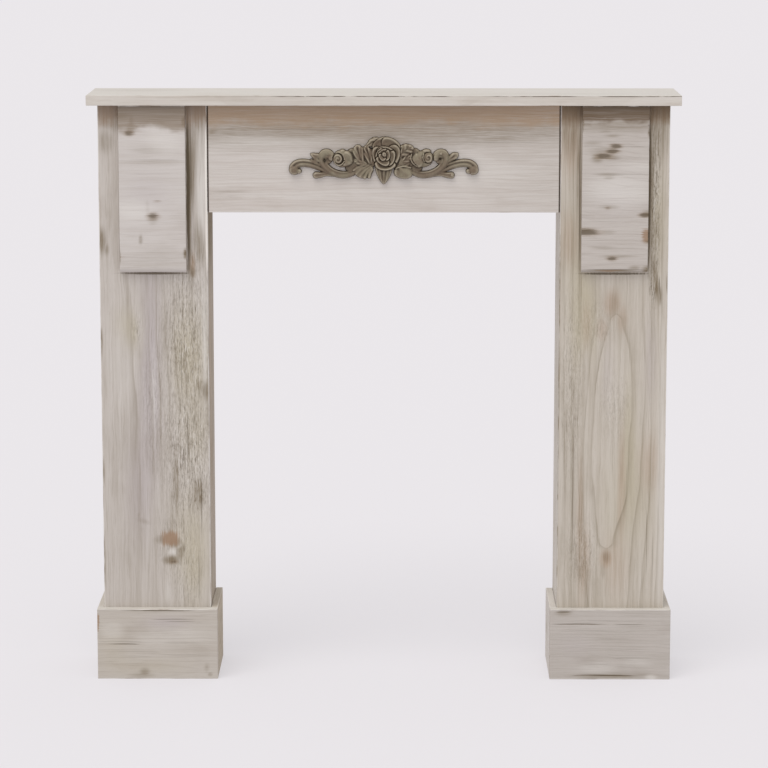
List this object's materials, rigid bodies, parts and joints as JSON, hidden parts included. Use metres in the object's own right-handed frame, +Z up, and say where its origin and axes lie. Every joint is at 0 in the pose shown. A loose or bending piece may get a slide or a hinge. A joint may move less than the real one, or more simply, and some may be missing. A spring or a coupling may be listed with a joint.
{
  "type": "fireplace mantelpiece",
  "caption": "Free-standing whitewashed timber fireplace surround: plain shelf, frieze with a rose-and-scroll ornament, and box pilasters with raised panels on skirted plinths.",
  "frame": {"origin": "on the floor under the middle of the bounding box", "axes": "+X along the shelf to the right as seen from the front, +Y towards the wall (the front faces -Y), +Z up"},
  "size_m": [1, 0.158, 1.01],
  "materials": {
    "shelf_wood": "whitewashed, thinly rubbed wood, matt, with knots, stains and worn edges",
    "frieze_wood": "whitewashed, thinly rubbed wood, matt, with knots, stains and worn edges",
    "pilaster_wood": "whitewashed, thinly rubbed wood, matt, with knots, stains and worn edges",
    "panel_wood": "whitewashed, thinly rubbed wood, matt, with knots, stains and worn edges",
    "plinth_wood": "whitewashed, thinly rubbed wood, matt, with knots, stains and worn edges",
    "cast_ornament": "cast resin painted grey-brown, darker in the hollows, rubbed on the high parts"
  },
  "bodies": {
    "root": {"mantel_shelf": "shelf_wood", "frieze_board": "frieze_wood", "frieze_ornament": "cast_ornament", "left_pilaster_front": "pilaster_wood", "left_pilaster_outer_side": "pilaster_wood", "left_pilaster_inner_side": "pilaster_wood", "left_plinth_front": "plinth_wood", "left_plinth_outer_side": "plinth_wood", "left_plinth_inner_side": "plinth_wood", "left_corbel_panel": "panel_wood", "right_pilaster_front": "pilaster_wood", "right_pilaster_outer_side": "pilaster_wood", "right_pilaster_inner_side": "pilaster_wood", "right_plinth_front": "plinth_wood", "right_plinth_outer_side": "plinth_wood", "right_plinth_inner_side": "plinth_wood", "right_corbel_panel": "panel_wood"}
  },
  "joints": []
}
